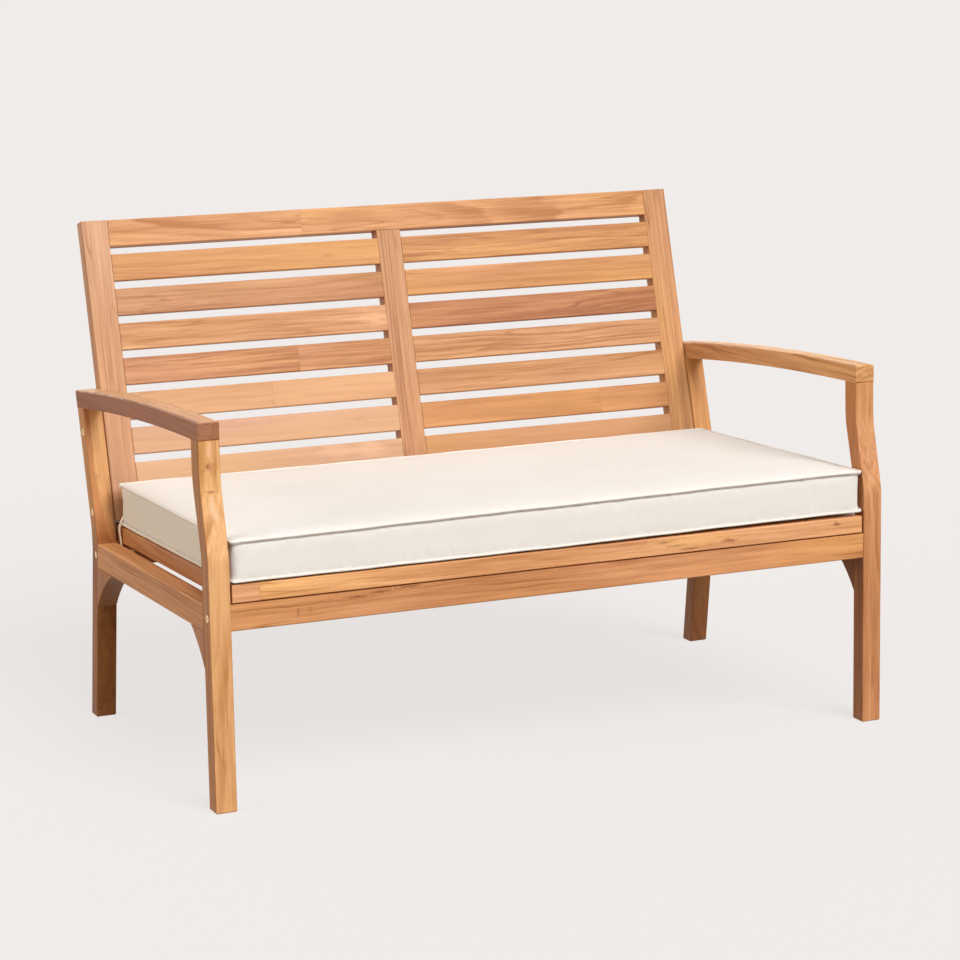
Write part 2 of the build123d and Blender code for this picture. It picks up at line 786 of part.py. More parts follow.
def make_cushion():
    """A box cushion with a crowned top, piped above and below, and a tie at each rear corner."""
    seam_plan = cushion_outline(cushion_low, piping_proud)
    waist_plan = cushion_outline((cushion_low + cushion_high) / 2, piping_proud + cushion_draw_in)
    top_plan = cushion_outline(cushion_high, piping_proud)
    boxing = loft([seam_plan, waist_plan, top_plan])
    swell = extrude(top_plan, amount=2 * cushion_crown)
    across = extrude(
        Plane.YZ.offset(-outer_half) * crown_section(cushion_front, cushion_rear), amount=overall_width
    )
    along_bench = extrude(
        Plane.XZ.offset(-cushion_rear - overrun) * crown_section(-cushion_half_width, cushion_half_width),
        amount=cushion_rear - cushion_front + 2 * overrun,
    )
    cushion = boxing + (swell & across & along_bench)
    lower = piping_loop(cushion_low + piping_inset)
    upper = piping_loop(cushion_high - piping_inset)
    nodes["seat_cushion"] = seat_plane * (cushion - lower - upper)
    nodes["cushion_piping_lower"] = seat_plane * lower
    nodes["cushion_piping_upper"] = seat_plane * upper
    tie = tie_solid() - seat_plane * cushion - seat_plane * lower
    both_sides("cushion_tie", tie)


make_front_legs()
make_rear_legs()
make_arms()
make_side_rails()
make_aprons()
make_back_panel()
make_seat_panel()
make_fixings()
make_cushion()

for name, piece in nodes.items():
    export_step(piece, f"parts/{name}.step")
print("nodes", len(nodes))
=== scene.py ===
import bmesh
import bpy
from math import cos, exp, pi, radians, sin
from mathutils import Euler, Matrix, Vector


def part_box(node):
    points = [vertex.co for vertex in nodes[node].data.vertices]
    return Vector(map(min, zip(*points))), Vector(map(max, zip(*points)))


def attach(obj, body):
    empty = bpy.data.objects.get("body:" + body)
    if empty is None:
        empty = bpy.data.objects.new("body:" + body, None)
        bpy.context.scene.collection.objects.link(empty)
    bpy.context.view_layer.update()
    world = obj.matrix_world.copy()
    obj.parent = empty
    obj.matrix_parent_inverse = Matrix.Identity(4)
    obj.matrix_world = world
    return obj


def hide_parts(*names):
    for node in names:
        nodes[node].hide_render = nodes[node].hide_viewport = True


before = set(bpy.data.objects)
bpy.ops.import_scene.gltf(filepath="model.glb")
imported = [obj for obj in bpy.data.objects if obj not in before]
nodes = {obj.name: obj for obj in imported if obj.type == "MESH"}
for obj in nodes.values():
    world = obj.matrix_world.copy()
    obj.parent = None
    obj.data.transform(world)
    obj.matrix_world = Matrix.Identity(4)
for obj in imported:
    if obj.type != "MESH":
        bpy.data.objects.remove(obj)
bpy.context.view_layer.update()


# Front legs: bent legs of oiled teak, each sawn in one piece, with a bolt through it that draws up
# the front apron. The left one is golden, with a knot below the arm. The bench's boards are
# unmatched, so every piece of it gets its own cut of the log, its own tones and its own grain.
def linear(red, green, blue):
    """A shader colour from screen values of 0 to 255."""
    colour = []
    for value in (red, green, blue):
        part = value / 255
        colour.append(part / 12.92 if part < 0.04045 else ((part + 0.055) / 1.055) ** 2.4)
    return colour + [1.0]


def put(tree, kind, ins=None, **settings):
    """Adds a node. ins gives its inputs, by name or number, a value or a socket to join."""
    item = tree.nodes.new(kind)
    for key, value in settings.items():
        setattr(item, key, value)
    for key, value in (ins or {}).items():
        if isinstance(value, bpy.types.NodeSocket):
            tree.links.new(value, item.inputs[key])
        else:
            item.inputs[key].default_value = value
    return item


def calc(tree, operation, *values):
    """A maths node's result."""
    return put(tree, "ShaderNodeMath", dict(enumerate(values)), operation=operation).outputs[0]


def calc_vector(tree, operation, *vectors):
    """A vector maths node's result."""
    ins = dict(enumerate(vectors))
    return put(tree, "ShaderNodeVectorMath", ins, operation=operation).outputs[0]


def length_of(tree, vector):
    """A vector's length."""
    return put(tree, "ShaderNodeVectorMath", {0: vector}, operation="LENGTH").outputs["Value"]


def split(tree, vector):
    """A vector's X, Y and Z."""
    return put(tree, "ShaderNodeSeparateXYZ", {0: vector}).outputs


def joined(tree, **parts):
    """A vector from its X, Y and Z, zero where left out."""
    return put(tree, "ShaderNodeCombineXYZ", parts).outputs[0]


def stretched(tree, vector, scale):
    """A position scaled along each axis."""
    return calc_vector(tree, "MULTIPLY", vector, scale)


def noise(tree, vector, seed, detail=2.0):
    """Noise from 0 to 1 at a position, different for each seed."""
    ins = {"Vector": vector, "W": seed, "Scale": 1.0, "Detail": detail}
    return put(tree, "ShaderNodeTexNoise", ins, noise_dimensions="4D").outputs["Fac"]


def ranged(tree, value, low, high):
    """A value mapped from low..high to 0..1 and clamped."""
    ins = {"Value": value, "From Min": low, "From Max": high}
    return put(tree, "ShaderNodeMapRange", ins).outputs["Result"]


def blended(tree, share, first, second, blend_type="MIX"):
    """The first colour with a share of the second mixed in, or laid over it in another way."""
    ins = {"Factor": share, 6: first, 7: second}
    return put(tree, "ShaderNodeMix", ins, data_type="RGBA", blend_type=blend_type).outputs[2]


def new_group(name, inputs, outputs):
    """An empty node group with its sockets, as (group, inputs, output node)."""
    tree = bpy.data.node_groups.new(name, "ShaderNodeTree")
    for label, kind in inputs.items():
        tree.interface.new_socket(label, in_out="INPUT", socket_type="NodeSocket" + kind)
    for label, kind in outputs.items():
        tree.interface.new_socket(label, in_out="OUTPUT", socket_type="NodeSocket" + kind)
    return tree, tree.nodes.new("NodeGroupInput").outputs, tree.nodes.new("NodeGroupOutput")


def teak_figure():
    """Growth rings round a pith, warped along the grain, with fibres, pores and broad tones."""
    tree, given, result = new_group(
        "teak_figure",
        {"Position": "Vector", "Pith": "Vector", "Seed": "Float", "Spacing": "Float",
         "Waviness": "Float", "Contrast": "Float", "Light": "Color", "Dark": "Color"},
        {"Color": "Color", "Height": "Float", "Roughness": "Float"},
    )
    place, seed = given["Position"], given["Seed"]

    def mark(along, across, detail=2.0):
        """Noise from 0 to 1, drawn out with the grain: its scale along the grain and across it."""
        return noise(tree, stretched(tree, place, (along, across, across)), seed, detail)

    def swing(along, across, detail=2.0):
        """The same noise, to either side of zero."""
        return calc(tree, "SUBTRACT", mark(along, across, detail), 0.5)

    # rings about the pith, which run almost straight along the log, bent by a slow and a quick wave
    wave = calc(tree, "MULTIPLY_ADD", swing(9.0, 60.0), 0.14, swing(1.9, 13.0))
    warp = calc(tree, "MULTIPLY", wave, given["Waviness"])
    from_pith = calc_vector(tree, "SUBTRACT", place, given["Pith"])
    radius = length_of(tree, stretched(tree, from_pith, (0.035, 1.0, 1.0)))
    phase = calc(tree, "DIVIDE", calc(tree, "ADD", radius, warp), given["Spacing"])
    ring = calc(tree, "FRACT", phase)
    late_wood = calc(tree, "POWER", ring, 2.5)
    line = calc(tree, "MULTIPLY", late_wood, ranged(tree, ring, 1.0, 0.88))

    # some rings are strong and others faint, and each fades in and out
    ring_seed = calc(tree, "ADD", calc(tree, "FLOOR", phase), seed)
    each = put(tree, "ShaderNodeTexWhiteNoise", {"W": ring_seed}, noise_dimensions="1D")
    strength = calc(tree, "POWER", each.outputs["Value"], 2.0)
    fading = ranged(tree, mark(4.5, 30.0), 0.38, 0.62)
    line = calc(tree, "MULTIPLY", calc(tree, "MULTIPLY", line, strength), fading)

    # bands that follow the rings, broad patches, streaks, fibres, pores and thin wandering veins
    along_rings = joined(
        tree,
        X=calc(tree, "MULTIPLY", split(tree, place)["X"], 1.2),
        Y=calc(tree, "MULTIPLY", phase, 0.85),
    )
    band = ranged(tree, noise(tree, along_rings, seed, 4.0), 0.3, 0.7)
    broad = ranged(tree, mark(2.1, 16.0, 3.0), 0.32, 0.68)
    streak = swing(5.0, 120.0, 3.0)
    fibre = swing(11.0, 330.0, 3.0)
    pore = ranged(tree, mark(60.0, 1500.0, 1.0), 0.6, 0.74)
    fold = ranged(tree, calc(tree, "ABSOLUTE", swing(3.2, 52.0, 1.5)), 0.022, 0.0)
    vein = calc(tree, "MULTIPLY", fold, ranged(tree, mark(7.0, 34.0), 0.48, 0.66))

    tone = calc(tree, "MULTIPLY", broad, 0.38)
    for darker, weight in ((band, 0.5), (vein, 0.65), (streak, 1.1), (fibre, 0.95), (line, 1.3)):
        tone = calc(tree, "MULTIPLY_ADD", darker, weight, tone)
    tone = calc(tree, "MULTIPLY", tone, given["Contrast"])
    tone = calc(tree, "MULTIPLY_ADD", pore, 0.2, tone)
    wood = blended(tree, ranged(tree, tone, 0.0, 1.0), given["Light"], given["Dark"])

    # parts of a board are golden and the rest a little cooler
    tint_place = stretched(tree, place, (1.7, 9.0, 9.0))
    golden = ranged(tree, noise(tree, tint_place, calc(tree, "ADD", seed, 40.0)), 0.45, 0.7)
    warmth = blended(tree, golden, (0.99, 0.985, 1.03, 1.0), (1.03, 1.05, 0.84, 1.0))
    wood = blended(tree, 1.0, wood, warmth, "MULTIPLY")

    height = calc(tree, "MULTIPLY", fibre, 0.6)
    for sunk, weight in ((pore, 0.8), (line, 0.5)):
        height = calc(tree, "SUBTRACT", height, calc(tree, "MULTIPLY", sunk, weight))
    rough = calc(tree, "MULTIPLY_ADD", pore, 0.15, calc(tree, "MULTIPLY_ADD", broad, 0.08, 0.46))
    tree.links.new(wood, result.inputs["Color"])
    tree.links.new(height, result.inputs["Height"])
    tree.links.new(rough, result.inputs["Roughness"])
    return tree


def butt_joint():
    """Past a place along the grain the board goes on as another piece of the log, glued on."""
    tree, given, result = new_group(
        "butt_joint",
        {"Position": "Vector", "Place": "Float"},
        {"Position": "Vector", "Line": "Float"},
    )
    past = calc(tree, "SUBTRACT", split(tree, given["Position"])["X"], given["Place"])
    beyond = calc(tree, "GREATER_THAN", past, 0.0)
    # how far off in the log the next piece was cut
    jump = joined(
        tree,
        X=calc(tree, "MULTIPLY", beyond, 1.7),
        Y=calc(tree, "MULTIPLY", beyond, 0.031),
        Z=calc(tree, "MULTIPLY", beyond, 0.012),
    )
    glue_line = ranged(tree, calc(tree, "ABSOLUTE", past), 0.0009, 0.0002)
    tree.links.new(calc_vector(tree, "ADD", given["Position"], jump), result.inputs["Position"])
    tree.links.new(glue_line, result.inputs["Line"])
    return tree


def knot_spot():
    """A ragged knot: its mask, and the position as the grain that runs round it sees it."""
    tree, given, result = new_group(
        "knot_spot", {"Position": "Vector", "Centre": "Vector", "Shape": "Vector", "Size": "Float"},
        {"Position": "Vector", "Mask": "Float"},
    )
    apart = calc_vector(tree, "SUBTRACT", given["Position"], given["Centre"])
    to_edge = length_of(tree, calc_vector(tree, "DIVIDE", apart, given["Shape"]))
    ins = {0: apart, "Scale": calc(tree, "DIVIDE", 1.0, given["Size"])}
    near = put(tree, "ShaderNodeVectorMath", ins, operation="SCALE").outputs[0]
    unevenness = noise(tree, stretched(tree, near, (0.35, 1.1, 1.1)), 4.0, 3.0)
    ragged = calc(tree, "MULTIPLY_ADD", unevenness, 2.6, -0.3)
    reach = calc(tree, "DIVIDE", calc(tree, "MULTIPLY", to_edge, ragged), given["Size"])
    bulge = calc(tree, "EXPONENT", calc(tree, "MULTIPLY", calc(tree, "POWER", reach, 2.0), -0.35))
    aside = calc(tree, "MULTIPLY", bulge, given["Size"])
    push = joined(
        tree, Y=calc(tree, "MULTIPLY", aside, 2.2), Z=calc(tree, "MULTIPLY", aside, 1.4)
    )
    tree.links.new(calc_vector(tree, "ADD", given["Position"], push), result.inputs["Position"])
    tree.links.new(ranged(tree, reach, 1.1, 0.35), result.inputs["Mask"])
    return tree


def end_grain_and_painted_shade():
    """A board's sawn ends are darker end grain than its face; its cheeks, and its foot below the
    seat, are darker as painted shade.
    """
    tree, given, result = new_group(
        "end_grain_and_painted_shade",
        {"Position": "Vector", "Normal": "Vector", "Painted_side_shade": "Color", "Ends": "Color",
         "Painted_under_seat_shade": "Color"},
        {"Tint": "Color"},
    )
    facing = split(tree, given["Normal"])
    above_ground = split(tree, given["Position"])["Z"]
    untinted = (1.0, 1.0, 1.0, 1.0)
    tint = untinted
    # the cheeks' tint and the tint below the seat are painted shade; the ends' tint is the end
    # grain's own colour
    for share, darker in (
        (calc(tree, "POWER", calc(tree, "ABSOLUTE", facing["X"]), 2.0), given["Painted_side_shade"]),
        (calc(tree, "POWER", calc(tree, "ABSOLUTE", facing["Y"]), 2.0), given["Ends"]),
        (ranged(tree, above_ground, 0.37, 0.29), given["Painted_under_seat_shade"]),
    ):
        tint = blended(tree, 1.0, tint, blended(tree, share, untinted, darker), "MULTIPLY")
    tree.links.new(tint, result.inputs["Tint"])
    return tree


teak_tree, joint_tree, knot_tree, face_tree = teak_figure(), butt_joint(), knot_spot(), end_grain_and_painted_shade()
glue_brown, glue_strength = (0.28, 0.14, 0.065, 1.0), 0.35


def new_material(name):
    """An empty material and its node tree."""
    material = bpy.data.materials.new(name)
    material.use_nodes = True
    material.node_tree.nodes.clear()
    return material, material.node_tree


def finish_with(node, material):
    """Gives a CAD piece its one material."""
    materials = nodes[node].data.materials
    materials.clear()
    materials.append(material)


def teak(node, turn, seed, light, dark, pith=(0.0, 0.004, -0.05), spacing=0.0065, waviness=0.03,
         contrast=1.0, joints=(), knots=(), patches=(), painted_side_shade=None, ends=None, painted_under_seat_shade=None):
    """Gives a board its own teak. turn lays X along the grain; places are from the board's middle.

    A knot or a patch is (centre, size, shape, colour, strength). Only knots push the grain aside.
    """
    low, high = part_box(node)
    material, tree = new_material("teak_" + node)
    coords = put(tree, "ShaderNodeTexCoord").outputs["Object"]
    ins = {"Vector": coords, "Location": (low + high) / 2, "Rotation": turn}
    place = put(tree, "ShaderNodeMapping", ins, vector_type="TEXTURE").outputs[0]
    marks = []
    for centre, size, shape, ink, strength in (*knots, *patches):
        ins = {"Position": place, "Centre": centre, "Shape": shape, "Size": size}
        spot = put(tree, "ShaderNodeGroup", ins, node_tree=knot_tree).outputs
        if len(marks) < len(knots):
            place = spot["Position"]
        marks.append((spot["Mask"], linear(*ink), strength))
    for joint in joints:
        ins = {"Position": place, "Place": joint}
        step = put(tree, "ShaderNodeGroup", ins, node_tree=joint_tree).outputs
        place = step["Position"]
        marks.append((step["Line"], glue_brown, glue_strength))
    ins = {"Position": place, "Pith": pith, "Seed": seed, "Spacing": spacing, "Waviness": waviness,
           "Contrast": contrast, "Light": linear(*light), "Dark": linear(*dark)}
    figure = put(tree, "ShaderNodeGroup", ins, node_tree=teak_tree).outputs
    colour = figure["Color"]
    for mask, ink, strength in marks:
        colour = blended(tree, calc(tree, "MULTIPLY", mask, strength), colour, ink)
    # painted shade: the cheeks (the sides facing along X) and the part below the seat are darkened
    # here; the ends' tint is their end grain
    if painted_side_shade or ends or painted_under_seat_shade:
        ins = {"Position": coords, "Normal": put(tree, "ShaderNodeNewGeometry").outputs["Normal"]}
        for label, tint in (("Painted_side_shade", painted_side_shade), ("Ends", ends), ("Painted_under_seat_shade", painted_under_seat_shade)):
            ins[label] = (*(tint or (1.0, 1.0, 1.0)), 1.0)
        face = put(tree, "ShaderNodeGroup", ins, node_tree=face_tree).outputs
        colour = blended(tree, 1.0, colour, face["Tint"], "MULTIPLY")
    ins = {"Height": figure["Height"], "Strength": 0.25, "Distance": 0.0006}
    bump = put(tree, "ShaderNodeBump", ins)
    skin = put(tree, "ShaderNodeBsdfPrincipled", {
        "Base Color": colour, "Roughness": figure["Roughness"], "Normal": bump.outputs[0],
        "Specular IOR Level": 0.35,
    })
    put(tree, "ShaderNodeOutputMaterial", {"Surface": skin.outputs[0]})
    finish_with(node, material)


upright = (0, radians(-90), radians(90))
# the cheeks of both front legs are painted shade on their sides
teak("front_leg_left", upright, 3.1, (250, 197, 138), (195, 134, 76), pith=(0.0, 0.03, -0.02),
     waviness=0.02, painted_side_shade=(0.56, 0.46, 0.37),
     knots=(((0.25, 0.003, 0.0), 0.0038, (1.5, 1.0, 4.0), (128, 76, 52), 0.75),
            ((0.2115, 0.001, 0.0), 0.0026, (0.8, 5.0, 4.0), (140, 86, 54), 0.65)),
     patches=(((0.25, 0.003, 0.0), 0.009, (1.5, 1.0, 4.0), (196, 124, 86), 0.6),
              ((0.190, 0.001, 0.0), 0.011, (2.4, 0.75, 4.0), (255, 208, 168), 0.6),
              ((0.272, 0.0, 0.0), 0.009, (2.2, 0.75, 4.0), (252, 204, 162), 0.5)))
teak("front_leg_right", upright, 5.4, (240, 176, 121), (180, 119, 73), pith=(0.0, -0.02, -0.03),
     waviness=0.02, painted_side_shade=(0.66, 0.57, 0.46))

# Rear legs: oiled teak in one piece, splayed below the seat and raked above it, with painted shade
# darkening them below the seat.
# Bolts through them hold the rear apron and the back panel.
rake = radians(15.9)
raked_post = (0, rake - radians(90), radians(90))
# on the left leg the cheeks and the foot are painted shade on its sides and below the seat, and its
# dark patch is a painted shadow of the cushion's rear corner
teak("rear_leg_left", raked_post, 7.7, (252, 196, 128), (206, 138, 84), pith=(0.0, 0.02, -0.03),
     patches=(((0.09, -0.015, 0.06), 0.015, (3.2, 1.0, 9.0), (126, 80, 44), 0.65),),
     painted_side_shade=(0.66, 0.60, 0.54), painted_under_seat_shade=(0.45, 0.31, 0.20))
# the right leg's foot is painted shade below the seat
teak("rear_leg_right", raked_post, 9.2, (230, 165, 106), (184, 120, 72), pith=(0.0, -0.03, -0.02),
     painted_under_seat_shade=(0.40, 0.33, 0.28))

# Arms: bowed teak boards, sawn to their curve, rounded over at the edges and dowelled on to the
# tops of the legs. The left one is a darker board, with strong painted shade on its sides; both
# arms' ends are darker end grain.
front_to_back = (0, 0, radians(90))
teak("arm_left", front_to_back, 11.3, (229, 178, 132), (181, 129, 87), pith=(0.0, 0.02, -0.035),
     spacing=0.005, painted_side_shade=(0.465, 0.285, 0.17), ends=(0.53, 0.41, 0.42))
teak("arm_right", front_to_back, 13.9, (243, 191, 141), (187, 130, 82), pith=(0.0, -0.02, -0.04),
     painted_side_shade=(0.79, 0.76, 0.77), ends=(0.88, 0.82, 0.77))

# Side rails and gussets: a teak rail dowelled between the two legs of each side, with a hollowed
# block of the same timber glued into the corner under each of its ends.
# the cheeks on the left rail and the left rear gusset are painted shade on their sides
teak("side_rail_left", front_to_back, 15.2, (245, 182, 127), (183, 124, 74),
     pith=(0.0, 0.03, -0.03), painted_side_shade=(0.76, 0.70, 0.54))
teak("side_rail_right", front_to_back, 16.8, (228, 168, 122), (176, 118, 76),
     pith=(0.0, -0.03, -0.03))
teak("front_gusset_left", upright, 17.5, (190, 134, 96), (146, 96, 64))
teak("front_gusset_right", upright, 18.1, (190, 132, 90), (146, 94, 60))
teak("rear_gusset_left", upright, 19.6, (204, 145, 100), (179, 122, 79), painted_side_shade=(0.69, 0.60, 0.43))
teak("rear_gusset_right", upright, 20.3, (196, 138, 98), (150, 98, 64))

# Aprons: teak boards on edge between the two sides, front and rear, bolted to the legs and kept
# from turning by a dowel beside each bolt. The front one has small dark knots toward its left end.
along_bench = (0, 0, 0)
teak("front_apron", along_bench, 21.7, (233, 168, 116), (178, 113, 68), pith=(0.1, 0.03, 0.045),
     knots=(((-0.355, -0.011, 0.011), 0.0022, (9.0, 4.0, 1.0), (118, 66, 36), 0.7),
            ((-0.315, -0.011, 0.0155), 0.002, (11.0, 4.0, 1.0), (118, 66, 36), 0.7),
            ((-0.265, -0.011, 0.0185), 0.002, (13.0, 4.0, 1.0), (118, 66, 36), 0.7)),
     patches=(((-0.455, -0.011, -0.003), 0.0035, (1.0, 4.0, 2.4), (176, 104, 62), 0.6),
              ((-0.435, -0.011, -0.001), 0.003, (1.0, 4.0, 2.2), (176, 104, 62), 0.5)))
teak("rear_apron", along_bench, 23.4, (228, 166, 116), (178, 114, 70))

# Seat panel: four jointed teak rails, a middle rail and eight slats. It lies on both aprons and is
# screwed to them from below. The front rail shows a glue line near each end, and dark knots.
teak("seat_front_rail", along_bench, 25.1, (253, 192, 141), (195, 130, 82), pith=(0.1, 0.02, -0.05),
     joints=(-0.517, 0.519),
     knots=(((0.186, -0.0228, 0.007), 0.0026, (5.0, 4.0, 1.0), (112, 62, 34), 0.8),
            ((0.208, -0.0228, 0.000), 0.0026, (8.0, 4.0, 1.0), (112, 62, 34), 0.85),
            ((0.233, -0.0228, -0.007), 0.0022, (8.0, 4.0, 1.0), (112, 62, 34), 0.8)),
     patches=(((0.306, -0.0228, -0.001), 0.0045, (4.0, 3.0, 1.0), (160, 92, 52), 0.8),
              ((0.512, -0.0228, 0.006), 0.0045, (2.0, 3.0, 1.0), (140, 80, 46), 0.8),
              ((0.24, -0.0228, 0.006), 0.010, (8.0, 3.0, 1.0), (252, 196, 122), 0.5)))
teak("seat_back_rail", along_bench, 26.3, (216, 154, 106), (170, 112, 72))
# the cheeks on the left seat rail are painted shade on its sides
teak("seat_side_rail_left", front_to_back, 27.2, (230, 169, 116), (180, 113, 66),
     painted_side_shade=(0.76, 0.74, 0.67))
teak("seat_side_rail_right", front_to_back, 28.8, (222, 164, 116), (176, 112, 68))
teak("seat_centre_rail", front_to_back, 29.9, (214, 154, 110), (170, 112, 74))
seat_slat_tones = (
    ((226, 166, 118), (186, 124, 82)), ((218, 154, 108), (176, 114, 74)),
    ((232, 172, 126), (190, 130, 88)), ((212, 150, 104), (170, 108, 70)),
)
for number in range(1, 9):
    light, dark = seat_slat_tones[number % len(seat_slat_tones)]
    teak(f"seat_slat_{number}", along_bench, 30.0 + 1.3 * number, light, dark,
         pith=(0.1 * number, 0.02, -0.05))

# Back panel: two teak stiles, two rails and a centre stile, with seven slats tenoned into each bay.
# It stands raked between the rear legs and is bolted to them. Some of its boards are glued up from
# shorter lengths.
raked_board = (-rake, 0, 0)
teak("back_top_rail", raked_board, 45.1, (229, 172, 120), (179, 116, 66), pith=(0.35, -0.035, 0.02),
     joints=(-0.164, 0.492))
teak("back_bottom_rail", raked_board, 46.4, (222, 162, 114), (178, 118, 76))
teak("back_stile_left", raked_post, 47.8, (217, 167, 127), (177, 124, 86), pith=(0.0, 0.05, -0.03),
     spacing=0.004, waviness=0.012)
teak("back_stile_right", raked_post, 48.5, (214, 157, 110), (161, 106, 64), pith=(0.0, 0.06, -0.02),
     spacing=0.0055, waviness=0.014)
teak("back_centre_stile", raked_post, 49.3, (213, 160, 115), (166, 113, 75),
     pith=(0.0, 0.05, -0.02), spacing=0.005, waviness=0.02)
slat_looks = {
    # side and number from below: lightest and darkest tone, pith place, ring spacing, waviness,
    # contrast and, on boards glued up from two lengths, the place of the joint
    "left_1": ((209, 167, 132), (198, 149, 111), (0.1, 0.01, 0.05), 0.011, 0.06, 0.9),
    "left_2": ((207, 160, 130), (190, 143, 112), (0.3, 0.05, 0.03), 0.008, 0.02, 0.6),
    "left_3": ((215, 165, 119), (193, 141, 96), (-0.4, -0.03, 0.03), 0.007, 0.03, 0.9, 0.016),
    "left_4": ((213, 154, 110), (162, 104, 65), (0.15, 0.0, 0.035), 0.007, 0.03, 1.1, 0.072),
    "left_5": ((225, 171, 129), (174, 116, 73), (-0.2, 0.03, 0.04), 0.008, 0.07, 1.1),
    "left_6": ((210, 156, 113), (171, 115, 72), (0.05, -0.01, 0.03), 0.008, 0.045, 1.1),
    "left_7": ((215, 159, 105), (191, 130, 78), (-0.1, 0.04, 0.03), 0.007, 0.06, 0.9),
    "right_1": ((201, 150, 107), (188, 132, 87), (0.1, 0.04, 0.03), 0.006, 0.02, 0.9),
    "right_2": ((208, 148, 94), (157, 100, 52), (0.2, 0.05, 0.02), 0.008, 0.03, 0.8, 0.107),
    "right_3": ((208, 154, 111), (160, 104, 61), (-0.3, -0.01, 0.035), 0.007, 0.04, 1.0),
    "right_4": ((220, 166, 121), (169, 112, 68), (0.25, 0.03, 0.035), 0.006, 0.03, 1.0),
    "right_5": ((197, 136, 92), (157, 97, 59), (-0.05, 0.0, 0.03), 0.0065, 0.08, 1.2),
    "right_6": ((217, 158, 105), (173, 112, 62), (0.3, 0.03, 0.04), 0.007, 0.025, 0.9),
    "right_7": ((222, 163, 104), (169, 109, 62), (0.1, -0.02, 0.035), 0.008, 0.07, 1.1),
}
slat_patches = {
    "left_1": (((0.187, 0.0, 0.010), 0.014, (2.6, 4.0, 1.3), (250, 208, 172), 0.24),
               ((0.125, 0.0, 0.012), 0.012, (3.2, 4.0, 1.1), (248, 204, 166), 0.2)),
    "left_5": (((0.225, 0.0, 0.002), 0.014, (2.4, 4.0, 1.2), (246, 190, 140), 0.35),
               ((0.240, 0.0, -0.004), 0.0028, (3.0, 4.0, 0.7), (150, 92, 56), 0.6)),
    "left_7": (((0.150, 0.0, -0.003), 0.005, (3.5, 4.0, 0.8), (186, 124, 76), 0.5),),
}
for number, (name, look) in enumerate(slat_looks.items()):
    light, dark, pith, spacing, waviness, contrast, *joints = look
    teak("back_slat_" + name, raked_board, 51.0 + 1.7 * number, light, dark, pith, spacing,
         waviness, contrast, joints, patches=slat_patches.get(name, ()))


# Fixings: brass-coloured bolts with hexagon sockets and the cross nuts they pull on, steel screws
# that hold the seat from below, and beech dowels in the glued joints.
def metal(node, colour, roughness):
    """A lightly scuffed metal with a duller cloud over it."""
    material, tree = new_material("metal_" + node)
    coords = put(tree, "ShaderNodeTexCoord").outputs["Object"]
    cloud = noise(tree, stretched(tree, coords, (300.0, 300.0, 300.0)), 1.0, 3.0)
    scuff = noise(tree, stretched(tree, coords, (2500.0, 900.0, 2500.0)), 2.0, 2.0)
    duller = [0.8 * part for part in colour[:3]] + [1.0]
    tint = blended(tree, ranged(tree, cloud, 0.35, 0.75), colour, duller)
    rough = calc(tree, "MULTIPLY_ADD", cloud, 0.25, roughness)
    bump = put(tree, "ShaderNodeBump", {"Height": scuff, "Strength": 0.15, "Distance": 0.0002})
    skin = put(tree, "ShaderNodeBsdfPrincipled", {
        "Base Color": tint, "Roughness": rough, "Metallic": 0.8, "Normal": bump.outputs[0],
    })
    put(tree, "ShaderNodeOutputMaterial", {"Surface": skin.outputs[0]})
    finish_with(node, material)


metal("frame_bolts", linear(255, 236, 190), 0.15)
metal("barrel_nuts", linear(222, 192, 130), 0.3)
metal("seat_screws", linear(196, 197, 200), 0.25)
teak("frame_dowels", along_bench, 77.0, (226, 198, 158), (206, 172, 128), contrast=0.5)

# Cushion: a boxed pad of foam in a sewn cover of plain off-white outdoor canvas, with a strip of
# the canvas, the boxing, between its top and its bottom. It lies loose on the seat.
panel_low_edge = (0, -0.36586, 0.32951)
seat_fall = radians(-1.5)
seat_to_bench = Matrix.Translation(panel_low_edge) @ Matrix.Rotation(seat_fall, 4, "X")
# the cushion is made level, with Y and Z from the seat panel's lower front edge, and then laid on
half_width, front_edge, rear_edge = 0.5635, -0.002, 0.5593
seam_low, seam_high = 0.0318, 0.0998
corner_radius = 0.008


def outline(inset, height, per_corner=8):
    """The cushion's rounded plan, inside its widest by an inset, as points in the seat's plane."""
    radius = corner_radius - inset
    points = []
    for x_sign, y_sign, start in ((1, 1, 0), (-1, 1, 90), (-1, -1, 180), (1, -1, 270)):
        edge = rear_edge if y_sign == 1 else front_edge
        middle_x = x_sign * (half_width - inset - radius)
        middle_y = edge - y_sign * (inset + radius)
        for step in range(per_corner + 1):
            angle = radians(start + 90 * step / per_corner)
            x, y = middle_x + radius * cos(angle), middle_y + radius * sin(angle)
            points.append(Vector((x, y, height)))
    return points


def canvas_weave():
    """Closely woven cloth: a fine plain weave with faint slubs and patches."""
    tree, given, result = new_group(
        "canvas_weave", {"Position": "Vector"}, {"Tone": "Float", "Height": "Float"}
    )
    place = given["Position"]
    axes = split(tree, place)
    thread_pitch = 0.0009
    threads = []
    for first in ("X", "Y"):
        run = calc(tree, "ADD", axes[first], axes["Z"])
        threads.append(calc(tree, "SINE", calc(tree, "MULTIPLY", run, 2 * pi / thread_pitch)))
    weave = calc(tree, "MULTIPLY", *threads)
    slub = noise(tree, stretched(tree, place, (60.0, 700.0, 400.0)), 3.0, 2.0)
    patch = noise(tree, stretched(tree, place, (9.0, 9.0, 20.0)), 6.0, 3.0)
    tone = calc(tree, "MULTIPLY_ADD", slub, 0.35, calc(tree, "MULTIPLY", patch, 0.65))
    tree.links.new(ranged(tree, tone, 0.3, 0.75), result.inputs["Tone"])
    tree.links.new(calc(tree, "MULTIPLY_ADD", weave, 0.5, slub), result.inputs["Height"])
    return tree


